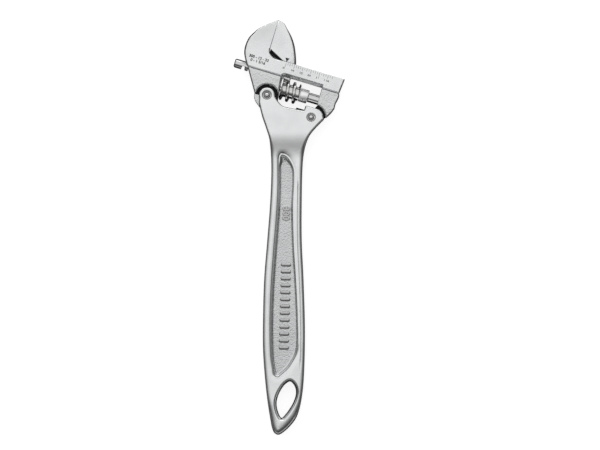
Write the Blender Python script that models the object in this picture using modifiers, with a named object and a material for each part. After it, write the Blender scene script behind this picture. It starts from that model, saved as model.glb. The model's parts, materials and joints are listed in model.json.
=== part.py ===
# Adjustable wrench, 300 mm long, lying flat with its jaws towards +Y.
# The head pivots a little in the forked handle, the worm moves the sliding jaw, and
# the worm's carriage springs back along its pin, so the wrench can ratchet.
# The tables of points are in millimetres; MM turns them into metres.

import math

import bmesh
import bpy
from mathutils import Vector

MM = 0.001

# Placing of the head on the handle
HEAD_TILT = math.radians(16.7)
HEAD_X = -12.48
HEAD_Y = 273.6
PIVOT_U = 7.6
PIVOT_V = -27.3
GUIDE_U = 42.75
GUIDE_V = -33.55

# Half thicknesses, measured from the middle plane
BAR_HALF = 8.6
LOWER_HALF = 8.2
FORK_HALF = 8.2
GRIP_HALF = 6.1
TAIL_HALF = 5.6
TIP_HALF = 5.0
TONGUE_HALF = 3.2
CLEARANCE = 0.3

# Jaws, rack and worm
BAR_END = 58.2
STEP_V = -10.9
JAW_GAP = 0.15
SHANK_V = -11.2
SHANK_RADIUS = 3.3
SHANK_START = -21.8
SHANK_END = 20.6
WEB_HALF = 2.5
WORM_V = -19.8
WORM_RADIUS = 7.8
WORM_ROOT = 4.95
WORM_START = 15.9
WORM_END = 29.6
WORM_LEAD = 4.9
CREST_AT_TOP = 19.6
CREST_WIDTH = 1.5
FLANK_WIDTH = 0.42
COLLAR_START = 29.9
COLLAR_END = 36.2
COLLAR_RADIUS = 4.9
PIN_THICK_RADIUS = 3.5
PIN_THIN_RADIUS = 1.8
PIN_START = 11.2
PIN_STEP = 36.4
PIN_END = 56.0

# Worm window in the head
WINDOW_TOP = -10.4
WINDOW_LEFT_TOP = 14.7
WINDOW_LEFT_FOOT = 16.9
WINDOW_RIGHT = 44.1

# Fork, rivets and return plunger
NOTCH_RADIUS = 8.1
EAR_RADIUS = 5.9
GUIDE_CLEAR_RADIUS = 10.4
FORK_FLOOR_V = -41.2
TONGUE_FOOT_V = -39.2
FINGER_TOP_V = -26.2
PIVOT_RADIUS = 2.4
GUIDE_RADIUS = 2.2
RIVET_HEAD_EXTRA = 0.4
SWING_DROP = 1.3
PLUNGER_U = 27.0
PLUNGER_RADIUS = 1.8
PLUNGER_LENGTH = 6.0
PLUNGER_BORE_FOOT = -54.5

# Grip
RECESS_DEPTH = 2.3
RECESS_SLOPE = 1.3
HOLE_CHAMFER = 1.6

POLISHED = (0.80, 0.81, 0.82)
SATIN = (0.62, 0.63, 0.64)
BRIGHT = (0.74, 0.75, 0.76)
SPRING_STEEL = (0.42, 0.42, 0.43)


def clear_scene():
    for item in list(bpy.data.objects):
        bpy.data.objects.remove(item, do_unlink=True)


def new_collection(name):
    collection = bpy.data.collections.new(name)
    bpy.context.scene.collection.children.link(collection)
    return collection


def new_empty(name, collection, parent=None, location=(0.0, 0.0, 0.0), turn=0.0):
    empty = bpy.data.objects.new(name, None)
    empty.empty_display_size = 10.0 * MM
    empty.parent = parent
    empty.location = Vector(location) * MM
    empty.rotation_euler.z = turn
    collection.objects.link(empty)
    return empty


def metal(name, colour, roughness):
    material = bpy.data.materials.new(name)
    material.use_nodes = True
    shader = material.node_tree.nodes["Principled BSDF"]
    shader.inputs["Base Color"].default_value = (*colour, 1.0)
    shader.inputs["Roughness"].default_value = roughness
    shader.inputs["Metallic"].default_value = 1.0
    return material


# Outlines

def arc(centre, radius, start, end, steps):
    points = []
    for step in range(steps + 1):
        angle = math.radians(start + (end - start) * step / steps)
        points.append((centre[0] + radius * math.cos(angle), centre[1] + radius * math.sin(angle)))
    return points


def smooth(points, steps):
    """A curve through the points, with tangents taken from their neighbours."""
    knots = [Vector(point) for point in points]
    along = [0.0]
    for before, after in zip(knots, knots[1:]):
        along.append(along[-1] + (after - before).length)
    tangents = []
    last = len(knots) - 1
    for index in range(last + 1):
        low = max(index - 1, 0)
        high = min(index + 1, last)
        tangents.append((knots[high] - knots[low]) / (along[high] - along[low]))
    curve = []
    for index in range(last):
        span = along[index + 1] - along[index]
        for step in range(steps):
            t = step / steps
            point = knots[index] * (2 * t ** 3 - 3 * t ** 2 + 1)
            point = point + tangents[index] * span * (t ** 3 - 2 * t ** 2 + t)
            point = point + knots[index + 1] * (3 * t ** 2 - 2 * t ** 3)
            point = point + tangents[index + 1] * span * (t ** 3 - t ** 2)
            curve.append((point.x, point.y))
    curve.append(tuple(knots[-1]))
    return curve


def grown(outline, distance):
    """The closed outline moved outwards by a distance."""
    count = len(outline)
    corners = [Vector(point) for point in outline]
    area = 0.0
    for index in range(count):
        area += corners[index - 1].cross(corners[index])
    side = 1.0 if area > 0 else -1.0
    moved = []
    for index in range(count):
        before = (corners[index] - corners[index - 1]).normalized()
        after = (corners[(index + 1) % count] - corners[index]).normalized()
        normal = Vector((before.y + after.y, -before.x - after.x)).normalized()
        spread = max(normal.dot(Vector((after.y, -after.x))), 0.4)
        moved.append(tuple(corners[index] + normal * (side * distance / spread)))
    return moved


def from_head(u, v):
    """A point of the head's frame, in the handle's frame."""
    x = HEAD_X + u * math.cos(HEAD_TILT) + v * math.sin(HEAD_TILT)
    y = HEAD_Y - u * math.sin(HEAD_TILT) + v * math.cos(HEAD_TILT)
    return (x, y)


# Solids

def weld(mesh, distance=0.002 * MM):
    shape = bmesh.new()
    shape.from_mesh(mesh)
    bmesh.ops.remove_doubles(shape, verts=shape.verts, dist=distance)
    bmesh.ops.recalc_face_normals(shape, faces=shape.faces)
    shape.to_mesh(mesh)
    shape.free()


def mesh_from_curve(flat):
    depsgraph = bpy.context.evaluated_depsgraph_get()
    mesh = bpy.data.meshes.new_from_object(flat.evaluated_get(depsgraph))
    mesh.name = flat.name
    bpy.data.objects.remove(flat)
    weld(mesh)
    return mesh


def plate(name, outline, half, collection, parent, lift=0.0):
    """A closed outline in the XY plane, made into a slab around the middle plane."""
    curve = bpy.data.curves.new(name, "CURVE")
    curve.dimensions = "2D"
    curve.fill_mode = "BOTH"
    curve.extrude = half * MM
    spline = curve.splines.new("POLY")
    spline.points.add(len(outline) - 1)
    for point, place in zip(spline.points, outline):
        point.co = (place[0] * MM, place[1] * MM, 0.0, 1.0)
    spline.use_cyclic_u = True
    flat = bpy.data.objects.new(name, curve)
    collection.objects.link(flat)
    slab = bpy.data.objects.new(name, mesh_from_curve(flat))
    slab.parent = parent
    slab.location.z = lift * MM
    collection.objects.link(slab)
    return slab


def turned(name, profile, steps, collection, parent, location, along="Z", closed=False):
    """A profile of (radius, height) points, turned about the local Z axis."""
    mesh = bpy.data.meshes.new(name)
    corners = [(radius * MM, 0.0, height * MM) for radius, height in profile]
    edges = [(index, index + 1) for index in range(len(corners) - 1)]
    if closed:
        edges.append((len(corners) - 1, 0))
    mesh.from_pydata(corners, edges, [])
    body = bpy.data.objects.new(name, mesh)
    collection.objects.link(body)
    body.parent = parent
    body.location = Vector(location) * MM
    if along == "U":
        body.rotation_euler.y = math.radians(90)
    if along == "V":
        body.rotation_euler.x = math.radians(-90)
    screw = body.modifiers.new("Turn", "SCREW")
    screw.axis = "Z"
    screw.steps = steps
    screw.render_steps = steps
    screw.use_merge_vertices = True
    screw.merge_threshold = 0.00001
    return body


def rod(radius, start, end):
    return [(0.0, end), (radius, end), (radius, start), (0.0, start)]


def combine(body, other, operation):
    boolean = body.modifiers.new(other.name, "BOOLEAN")
    boolean.operation = operation
    boolean.solver = "EXACT"
    boolean.object = other


def soften(body, width, segments=2, angle=40.0):
    bevel = body.modifiers.new("Edge", "BEVEL")
    bevel.width = width * MM
    bevel.segments = segments
    bevel.limit_method = "ANGLE"
    bevel.angle_limit = math.radians(angle)
    bevel.use_clamp_overlap = True


def hide_cutter(cutter):
    cutter.hide_render = True
    cutter.display_type = "WIRE"
    return cutter


def side_profile(name, profile, reach, collection, parent, across):
    """A slab whose thickness follows (place, half thickness) along one axis."""
    upper = [(place, half) for place, half in profile]
    lower = [(place, -half) for place, half in reversed(profile)]
    slab = plate(name, upper + lower, reach, collection, parent)
    if across == "X":
        slab.rotation_euler = (math.radians(90), 0.0, math.radians(90))
    return hide_cutter(slab)


def coil(name, radius, wire, start, end, turns, collection, parent, location, along):
    """A compression spring along its local Z axis."""
    curve = bpy.data.curves.new(name, "CURVE")
    curve.dimensions = "3D"
    curve.bevel_depth = wire * MM
    curve.bevel_resolution = 1
    curve.use_fill_caps = True
    count = turns * 10
    spline = curve.splines.new("POLY")
    spline.points.add(count)
    for index, point in enumerate(spline.points):
        angle = 2 * math.pi * index / 10
        height = start + (end - start) * index / count
        point.co = (radius * math.cos(angle) * MM, radius * math.sin(angle) * MM, height * MM, 1.0)
    spring = bpy.data.objects.new(name, curve)
    collection.objects.link(spring)
    spring.parent = parent
    spring.location = Vector(location) * MM
    if along == "U":
        spring.rotation_euler.y = math.radians(90)
    if along == "V":
        spring.rotation_euler.x = math.radians(-90)
    return spring


# Handle

def handle_outline():
    pivot = from_head(PIVOT_U, PIVOT_V)
    outline = arc(pivot, EAR_RADIUS, 198, 4, 14)
    outline += smooth([(-6.7, 243.6), (-5.0, 241.0), (-1.8, 237.7), (3.0, 236.3), (13.4, 234.3)], 4)
    outline += [from_head(36.4, FINGER_TOP_V - 0.8), from_head(37.2, FINGER_TOP_V)]
    outline += [from_head(47.0, FINGER_TOP_V), from_head(50.3, -28.5)]
    outline += smooth([(28.6, 228.4), (22.0, 221.7), (17.5, 215.9), (14.4, 207.3), (12.8, 195.7),
                       (12.1, 170.0), (12.1, 141.0), (13.4, 112.1), (14.4, 76.0), (13.7, 42.8),
                       (11.9, 25.5), (8.9, 14.0), (5.3, 8.2), (-0.4, 2.5), (-5.0, 0.0),
                       (-8.4, 2.3), (-10.6, 11.1), (-13.5, 31.3), (-15.7, 57.3), (-16.0, 76.0),
                       (-15.1, 112.1), (-12.8, 141.0), (-10.6, 170.0), (-9.9, 195.0),
                       (-11.2, 213.0), (-13.7, 221.7), (-16.6, 230.3), (-18.9, 239.8)], 4)
    return outline


def recess_outline():
    right = [(-2.7, 202.8), (3.8, 197.4), (6.0, 190.0), (5.2, 165.0), (5.8, 138.0), (7.4, 112.0),
             (8.6, 85.0), (8.2, 62.0), (2.4, 50.0), (-6.4, 42.6)]
    left = [(-6.4, 42.6), (-8.9, 57.0), (-9.4, 80.0), (-8.6, 106.0), (-6.6, 135.0), (-4.6, 160.0),
            (-3.6, 180.0), (-2.7, 202.8)]
    return smooth(right, 4)[:-1] + smooth(left, 4)[:-1]


def hang_hole_outline():
    right = [(4.1, 38.8), (7.6, 29.5), (4.5, 19.5), (-2.7, 11.4)]
    left = [(-2.7, 11.4), (-6.2, 22.0), (-3.6, 31.5), (4.1, 38.8)]
    return smooth(right, 5)[:-1] + smooth(left, 5)[:-1]


def make_handle(parts, cutters, wrench, head_frame):
    handle = plate("handle", handle_outline(), FORK_HALF, parts, wrench)
    swell = [(-5.0, TAIL_HALF), (20.0, TAIL_HALF), (90.0, GRIP_HALF), (202.0, GRIP_HALF)]
    swell += [(206.0, GRIP_HALF + 0.4), (214.0, FORK_HALF - 0.4), (218.0, FORK_HALF), (260.0, FORK_HALF)]
    combine(handle, side_profile("grip_profile", swell, 60.0, cutters, wrench, "X"), "INTERSECT")
    soften(handle, 0.9)
    for side in (1, -1):
        name = "front" if side > 0 else "back"
        reach = RECESS_DEPTH + 2.0
        lift = side * (GRIP_HALF - RECESS_DEPTH + reach)
        recess = plate(name + "_recess", recess_outline(), reach, cutters, wrench, lift)
        soften(recess, RECESS_SLOPE, 1)
        combine(handle, hide_cutter(recess), "DIFFERENCE")
        rim = grown(hang_hole_outline(), HOLE_CHAMFER)
        flare = plate(name + "_hole_rim", rim, HOLE_CHAMFER, cutters, wrench, side * (TAIL_HALF + 0.05))
        soften(flare, HOLE_CHAMFER - 0.01, 1)
        combine(handle, hide_cutter(flare), "DIFFERENCE")
    hole = plate("hang_hole", hang_hole_outline(), FORK_HALF + 1.0, cutters, wrench)
    combine(handle, hide_cutter(hole), "DIFFERENCE")
    rivets = {"pivot": (PIVOT_U, PIVOT_V, PIVOT_RADIUS), "guide": (GUIDE_U, GUIDE_V, GUIDE_RADIUS)}
    for name, (u, v, radius) in rivets.items():
        bore = radius + CLEARANCE
        head_bore = bore + RIVET_HEAD_EXTRA
        profile = [(0.0, 9.0), (head_bore + 0.5, 9.0), (head_bore, 7.7), (head_bore, 6.7)]
        profile += [(bore, 6.7), (bore, -6.7), (head_bore, -6.7), (head_bore, -7.7)]
        profile += [(head_bore + 0.5, -9.0), (0.0, -9.0)]
        cutter = turned(name + "_bore", profile, 24, cutters, head_frame, (u, v, 0.0))
        combine(handle, hide_cutter(cutter), "DIFFERENCE")
    well = rod(PLUNGER_RADIUS + CLEARANCE, 0.0, FORK_FLOOR_V + 3.0 - PLUNGER_BORE_FOOT)
    cutter = turned("plunger_well", well, 20, cutters, head_frame, (PLUNGER_U, PLUNGER_BORE_FOOT, 0.0), "V")
    combine(handle, hide_cutter(cutter), "DIFFERENCE")
    slot = [(-40.0, FORK_FLOOR_V), (80.0, FORK_FLOOR_V), (80.0, 10.0), (-40.0, 10.0)]
    fork_slot = plate("fork_slot", slot, TONGUE_HALF + CLEARANCE, cutters, head_frame)
    combine(handle, hide_cutter(fork_slot), "DIFFERENCE")
    return handle


# Head with the fixed jaw

def fixed_jaw_outline():
    jaw = smooth([(-12.5, STEP_V), (-14.6, -7.4), (-16.4, -4.0), (-17.4, -1.0), (-17.75, 3.0),
                  (-16.9, 9.0), (-14.4, 13.7), (-11.8, 17.5), (-6.4, 22.4), (-JAW_GAP, 27.4)], 3)
    throat = [(-JAW_GAP, 5.0), (0.8, 1.1), (3.9, -0.3), (7.8, -1.1), (12.6, -0.2)]
    bar = [(BAR_END, -0.2), (BAR_END - 1.0, STEP_V - 0.1)]
    return jaw + throat + bar


def lower_head_outline():
    outline = [(-8.0, -6.0), (-12.2, STEP_V), (-1.6, -28.0), (-0.6, -28.0)]
    outline += [(16.4, -28.0), (WINDOW_RIGHT - 2.0, -28.0)]
    outline += [(44.0, -28.0), (44.0, -38.0), (50.0, -34.6)]
    outline += smooth([(51.9, -32.0), (54.1, -29.0), (56.0, -25.4), (57.2, -22.0)], 3)
    outline += smooth([(57.0, -19.0), (57.6, -15.8), (57.9, -12.7), (57.0, STEP_V)], 3)
    outline += [(52.0, -6.0)]
    return outline


def window_outline(rise, left, right):
    corner = arc((WINDOW_LEFT_TOP + 3.0 - left, WINDOW_TOP - 3.0 + rise), 3.0, 180, 90, 5)
    outline = [(WINDOW_LEFT_FOOT - left, -45.0)] + corner
    outline += [(WINDOW_RIGHT + right, WINDOW_TOP + rise), (WINDOW_RIGHT + right, -45.0)]
    return outline


def tongue_outline():
    outline = [(-6.0, -19.0), (-1.7, -27.5)] + arc((PIVOT_U, PIVOT_V), 9.4, 201, 240, 4)
    outline += [(7.0, TONGUE_FOOT_V + 0.6), (12.0, TONGUE_FOOT_V), (44.0, TONGUE_FOOT_V)]
    outline += [(46.6, -37.6), (51.0, -31.0), (51.0, -24.0), (46.0, -22.0), (44.3, -24.2)]
    outline += [(42.6, -27.8), (37.4, -28.4), (37.0, -29.4), (30.5, -29.5), (30.2, -31.6)]
    outline += [(20.5, -32.6)]
    outline += smooth([(18.4, -31.9), (16.8, -29.8), (16.0, -27.6), (15.3, -20.0)], 3)
    return outline


def jaw_taper():
    points = [(-50.0, BAR_HALF), (1.0, BAR_HALF)]
    for step in range(1, 7):
        place = 1.0 + 27.4 * step / 6
        points.append((place, BAR_HALF - (BAR_HALF - TIP_HALF) * (step / 6) ** 1.6))
    return points


def make_head(parts, cutters, head_frame):
    head = plate("head", fixed_jaw_outline(), BAR_HALF, parts, head_frame)
    taper = side_profile("fixed_jaw_taper", jaw_taper(), 90.0, cutters, head_frame, "X")
    combine(head, taper, "INTERSECT")
    soften(head, 0.6)
    lower = plate("lower_head", lower_head_outline(), LOWER_HALF, cutters, head_frame)
    soften(lower, 1.1)
    combine(head, hide_cutter(lower), "UNION")
    window = plate("worm_window", window_outline(0.0, 0.0, 0.0), BAR_HALF + 2.0, cutters, head_frame)
    combine(head, hide_cutter(window), "DIFFERENCE")
    for side in (1, -1):
        name = "front" if side > 0 else "back"
        rim = plate(name + "_window_rim", window_outline(2.2, 1.8, 0.4), 2.2, cutters, head_frame,
                    side * (BAR_HALF + 0.05))
        soften(rim, 2.19, 1)
        combine(head, hide_cutter(rim), "DIFFERENCE")
    for name, u, v, radius in (("notch", PIVOT_U, PIVOT_V, NOTCH_RADIUS),
                               ("corner", GUIDE_U, GUIDE_V, GUIDE_CLEAR_RADIUS)):
        disc = turned(name + "_cut", rod(radius, -12.0, 12.0), 48, cutters, head_frame, (u, v, 0.0))
        combine(head, hide_cutter(disc), "DIFFERENCE")
    tongue = plate("tongue", tongue_outline(), TONGUE_HALF, cutters, head_frame)
    combine(head, hide_cutter(tongue), "UNION")
    channel_radius = SHANK_RADIUS + CLEARANCE
    channel = turned("rack_channel", rod(channel_radius, -40.0, 80.0), 28, cutters, head_frame,
                     (0.0, SHANK_V, 0.0), "U")
    combine(head, hide_cutter(channel), "DIFFERENCE")
    slot = [(JAW_GAP, SHANK_V), (80.0, SHANK_V), (80.0, 8.0), (JAW_GAP, 8.0)]
    web_slot = plate("web_slot", slot, WEB_HALF + CLEARANCE, cutters, head_frame)
    combine(head, hide_cutter(web_slot), "DIFFERENCE")
    pivot = turned("head_pivot_bore", rod(PIVOT_RADIUS + CLEARANCE, -6.0, 6.0), 24, cutters, head_frame,
                   (PIVOT_U, PIVOT_V, 0.0))
    combine(head, hide_cutter(pivot), "DIFFERENCE")
    reach = GUIDE_RADIUS + CLEARANCE
    drift = SWING_DROP * (PIVOT_V - GUIDE_V) / (GUIDE_U - PIVOT_U)
    ends = arc((GUIDE_U + drift, GUIDE_V + SWING_DROP), reach, 0, 180, 8)
    ends += arc((GUIDE_U, GUIDE_V), reach, 180, 360, 8)
    guide = plate("guide_slot", ends, 6.0, cutters, head_frame)
    combine(head, hide_cutter(guide), "DIFFERENCE")
    left = rod(PIN_THIN_RADIUS + CLEARANCE, PIN_START - 1.0, 22.0)
    left_bore = turned("pin_bore", left, 20, cutters, head_frame, (0.0, WORM_V, 0.0), "U")
    combine(head, hide_cutter(left_bore), "DIFFERENCE")
    right = rod(PIN_THICK_RADIUS + CLEARANCE, 40.0, 70.0)
    right_bore = turned("pin_head_bore", right, 24, cutters, head_frame, (0.0, WORM_V, 0.0), "U")
    combine(head, hide_cutter(right_bore), "DIFFERENCE")
    return head


# Sliding jaw with its rack

def moving_jaw_outline():
    outline = smooth([(JAW_GAP, 27.2), (4.7, 26.0), (7.5, 23.3), (12.2, 18.7), (15.8, 13.8),
                      (18.4, 8.5), (20.5, 3.1), (21.3, 0.2)], 3)
    outline += [(20.9, CLEARANCE), (11.2, CLEARANCE), (JAW_GAP + 0.7, 5.2), (JAW_GAP, 6.4)]
    return outline


def rack_gaps_outline():
    crown = SHANK_V - SHANK_RADIUS - 0.6
    floor = WORM_V + WORM_RADIUS + 0.45
    mouth = CREST_WIDTH / 2 + FLANK_WIDTH + 0.35
    root = CREST_WIDTH / 2 + 0.35
    places = [CREST_AT_TOP - WORM_LEAD * index for index in range(8)]
    outline = [(CREST_AT_TOP + 6.0, crown - 2.0)]
    for place in places:
        outline += [(place + mouth, crown), (place + root, floor)]
        outline += [(place - root, floor), (place - mouth, crown)]
    outline.append((places[-1] - 6.0, crown - 2.0))
    return outline


def slant(body, slope):
    for corner in body.data.vertices:
        corner.co.x += slope * corner.co.z


def make_moving_jaw(parts, cutters, head_frame):
    jaw = plate("movable_jaw", moving_jaw_outline(), BAR_HALF, parts, head_frame)
    taper = side_profile("moving_jaw_taper", jaw_taper(), 90.0, cutters, head_frame, "X")
    combine(jaw, taper, "INTERSECT")
    soften(jaw, 0.6)
    low = SHANK_V + 1.0
    web = [(JAW_GAP + CLEARANCE, low), (SHANK_END - 0.5, low), (SHANK_END - 0.5, 3.0), (11.0, 3.0),
           (JAW_GAP + CLEARANCE, 6.0)]
    stem = plate("jaw_web", web, WEB_HALF, cutters, head_frame)
    combine(jaw, hide_cutter(stem), "UNION")
    bevel = 0.8
    profile = [(0.0, SHANK_END), (SHANK_RADIUS - bevel, SHANK_END), (SHANK_RADIUS, SHANK_END - bevel)]
    profile += [(SHANK_RADIUS, SHANK_START + bevel), (SHANK_RADIUS - bevel, SHANK_START)]
    profile += [(0.0, SHANK_START)]
    shank = turned("jaw_shank", profile, 28, cutters, head_frame, (0.0, SHANK_V, 0.0), "U")
    combine(jaw, hide_cutter(shank), "UNION")
    gaps = plate("rack_gaps", rack_gaps_outline(), 6.0, cutters, head_frame)
    slant(gaps, WORM_LEAD / (2 * math.pi * (WORM_RADIUS + WORM_ROOT) / 2))
    combine(jaw, hide_cutter(gaps), "DIFFERENCE")
    return jaw


# Worm, its pin and the carriage

def thread_blank(name, collection, parent):
    """A right-handed thread, longer than the worm, around the local X axis."""
    steps = 40
    half_crest = CREST_WIDTH / 2
    profile = [(-half_crest - FLANK_WIDTH, WORM_ROOT), (-half_crest, WORM_RADIUS + 0.5),
               (half_crest, WORM_RADIUS + 0.5), (half_crest + FLANK_WIDTH, WORM_ROOT)]
    shift = CREST_AT_TOP - (WORM_START + WORM_END) / 2
    rows = []
    shape = bmesh.new()
    for step in range(steps):
        angle = 2 * math.pi * step / steps
        row = []
        for turn in range(-4, 4):
            for place, radius in profile:
                x = shift + place + WORM_LEAD * (turn + step / steps)
                y = radius * math.cos(angle)
                z = radius * math.sin(angle)
                row.append(shape.verts.new((x * MM, y * MM, z * MM)))
        rows.append(row)
    count = len(rows[0])
    pitch = len(profile)
    for step in range(steps - 1):
        for index in range(count - 1):
            shape.faces.new((rows[step][index], rows[step][index + 1],
                             rows[step + 1][index + 1], rows[step + 1][index]))
    for index in range(count - pitch - 1):
        shape.faces.new((rows[-1][index], rows[-1][index + 1],
                         rows[0][index + pitch + 1], rows[0][index + pitch]))
    starts = [row[0] for row in rows] + rows[0][pitch:0:-1]
    low = shape.verts.new((min(vert.co.x for vert in starts), 0.0, 0.0))
    close_fan(shape, starts, low)
    high_ring = [row[-1] for row in rows] + rows[-1][count - 2:count - pitch - 2:-1]
    high = shape.verts.new((max(vert.co.x for vert in high_ring), 0.0, 0.0))
    close_fan(shape, high_ring, high)
    bmesh.ops.recalc_face_normals(shape, faces=shape.faces)
    mesh = bpy.data.meshes.new(name)
    shape.to_mesh(mesh)
    shape.free()
    blank = bpy.data.objects.new(name, mesh)
    blank.parent = parent
    collection.objects.link(blank)
    return blank


def close_fan(shape, ring, centre):
    for before, after in zip(ring, ring[1:] + ring[:1]):
        shape.faces.new((before, after, centre))


def make_worm(parts, cutters, worm_axis):
    worm = thread_blank("worm", parts, worm_axis)
    length = WORM_END - WORM_START
    half = length / 2
    outline = [(0.0, half), (WORM_ROOT + 0.6, half), (WORM_RADIUS, half - 1.6)]
    outline += [(WORM_RADIUS, -half + 1.6), (WORM_ROOT + 0.6, -half), (0.0, -half)]
    blank = turned("worm_outline", outline, 40, cutters, worm_axis, (0.0, 0.0, 0.0), "U")
    combine(worm, hide_cutter(blank), "INTERSECT")
    wide = PIN_THICK_RADIUS + CLEARANCE
    narrow = PIN_THIN_RADIUS + CLEARANCE
    floor = -half + 2.8
    bore = [(0.0, half + 2.0), (wide, half + 2.0), (wide, floor), (narrow, floor)]
    bore += [(narrow, -half - 2.0), (0.0, -half - 2.0)]
    cutter = turned("worm_bore", bore, 28, cutters, worm_axis, (0.0, 0.0, 0.0), "U")
    combine(worm, hide_cutter(cutter), "DIFFERENCE")
    return worm


def make_pin(parts, cutters, head_frame):
    bevel = 0.4
    profile = [(0.0, PIN_END), (PIN_THICK_RADIUS - bevel, PIN_END), (PIN_THICK_RADIUS, PIN_END - bevel)]
    profile += [(PIN_THICK_RADIUS, PIN_STEP), (PIN_THIN_RADIUS, PIN_STEP)]
    profile += [(PIN_THIN_RADIUS, PIN_START + bevel), (PIN_THIN_RADIUS - bevel, PIN_START)]
    profile += [(0.0, PIN_START)]
    pin = turned("worm_pin", profile, 28, parts, head_frame, (0.0, WORM_V, 0.0), "U")
    slot = [(PIN_END - 1.2, -6.0), (PIN_END + 2.0, -6.0), (PIN_END + 2.0, 6.0), (PIN_END - 1.2, 6.0)]
    cutter = plate("pin_slot", slot, 0.5, cutters, head_frame)
    cutter.location.y = WORM_V * MM
    combine(pin, hide_cutter(cutter), "DIFFERENCE")
    return pin


def make_collar(parts, head_frame):
    bore = PIN_THICK_RADIUS + CLEARANCE
    length = COLLAR_END - COLLAR_START
    bevel = 0.4
    profile = [(bore, length), (COLLAR_RADIUS - bevel, length), (COLLAR_RADIUS, length - bevel)]
    profile += [(COLLAR_RADIUS, bevel), (COLLAR_RADIUS - bevel, 0.0), (bore, 0.0)]
    return turned("thrust_collar", profile, 28, parts, head_frame, (COLLAR_START, WORM_V, 0.0), "U", True)


def make_rivet(name, u, v, radius, parts, head_frame):
    head_radius = radius + RIVET_HEAD_EXTRA
    dome = [(head_radius * math.sin(angle), 7.5 + 1.0 * math.cos(angle))
            for angle in [math.radians(22.5 * step) for step in range(5)]]
    underside = [(head_radius, 7.0), (radius, 7.0)]
    upper = dome + underside
    profile = upper + [(place, -height) for place, height in reversed(upper)]
    return turned(name, profile, 28, parts, head_frame, (u, v, 0.0))


def make_plunger(parts, head_frame):
    top = PLUNGER_LENGTH
    flat = top - PLUNGER_RADIUS
    dome = [(PLUNGER_RADIUS * math.sin(angle), flat + PLUNGER_RADIUS * math.cos(angle))
            for angle in [math.radians(18 * step) for step in range(6)]]
    profile = dome + [(PLUNGER_RADIUS, 0.0), (0.0, 0.0)]
    place = (PLUNGER_U, TONGUE_FOOT_V - CLEARANCE - PLUNGER_LENGTH, 0.0)
    return turned("return_plunger", profile, 24, parts, head_frame, place, "V")


def stand_on_ground(wrench, pieces):
    """Moves the whole wrench so that the box around it stands centred on the origin."""
    bpy.context.view_layer.update()
    depsgraph = bpy.context.evaluated_depsgraph_get()
    low = Vector((1e9, 1e9, 1e9))
    high = Vector((-1e9, -1e9, -1e9))
    for piece in pieces:
        shape = piece.evaluated_get(depsgraph)
        mesh = shape.to_mesh()
        for corner in mesh.vertices:
            place = shape.matrix_world @ corner.co
            low = Vector([min(pair) for pair in zip(low, place)])
            high = Vector([max(pair) for pair in zip(high, place)])
        shape.to_mesh_clear()
    wrench.location -= Vector(((low.x + high.x) / 2, (low.y + high.y) / 2, low.z))


def main():
    clear_scene()
    parts = new_collection("adjustable_wrench")
    cutters = new_collection("adjustable_wrench_cutters")
    wrench = new_empty("wrench_frame", parts)
    pivot_place = from_head(PIVOT_U, PIVOT_V)
    head_pivot = new_empty("head_pivot", parts, wrench, (*pivot_place, 0.0), -HEAD_TILT)
    head_frame = new_empty("head_frame", parts, head_pivot, (-PIVOT_U, -PIVOT_V, 0.0))
    middle = (WORM_START + WORM_END) / 2
    worm_axis = new_empty("worm_axis", parts, head_frame, (middle, WORM_V, 0.0))

    looks = {
        make_handle(parts, cutters, wrench, head_frame): metal("Satin chrome", SATIN, 0.35),
        make_head(parts, cutters, head_frame): metal("Polished chrome", POLISHED, 0.16),
        make_moving_jaw(parts, cutters, head_frame): metal("Polished jaw", POLISHED, 0.14),
        make_worm(parts, cutters, worm_axis): metal("Knurl steel", BRIGHT, 0.22),
        make_collar(parts, head_frame): metal("Collar steel", BRIGHT, 0.24),
        make_pin(parts, cutters, head_frame): metal("Pin steel", BRIGHT, 0.26),
        make_rivet("pivot_pin", PIVOT_U, PIVOT_V, PIVOT_RADIUS, parts, head_frame):
            metal("Rivet steel", BRIGHT, 0.2),
        make_rivet("guide_pin", GUIDE_U, GUIDE_V, GUIDE_RADIUS, parts, head_frame):
            metal("Guide steel", BRIGHT, 0.2),
        make_plunger(parts, head_frame): metal("Plunger steel", BRIGHT, 0.3),
    }
    spring_start = WORM_START + 3.3
    spring = coil("worm_spring", 2.85, 0.42, spring_start, PIN_STEP - 0.8, 7, parts, head_frame,
                  (0.0, WORM_V, 0.0), "U")
    looks[spring] = metal("Worm spring steel", SPRING_STEEL, 0.35)
    plunger_foot = TONGUE_FOOT_V - CLEARANCE - PLUNGER_LENGTH
    spring_top = plunger_foot - PLUNGER_BORE_FOOT - 0.7
    spring = coil("return_spring", 1.4, 0.32, 0.7, spring_top, 6, parts, head_frame,
                  (PLUNGER_U, PLUNGER_BORE_FOOT, 0.0), "V")
    looks[spring] = metal("Return spring steel", SPRING_STEEL, 0.35)
    for piece, material in looks.items():
        piece.data.materials.clear()
        piece.data.materials.append(material)
    stand_on_ground(wrench, list(looks))


main()
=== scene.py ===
import json
import math

import bmesh
import bpy
import numpy as np
from mathutils import Matrix, Vector
from mathutils.geometry import delaunay_2d_cdt

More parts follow.
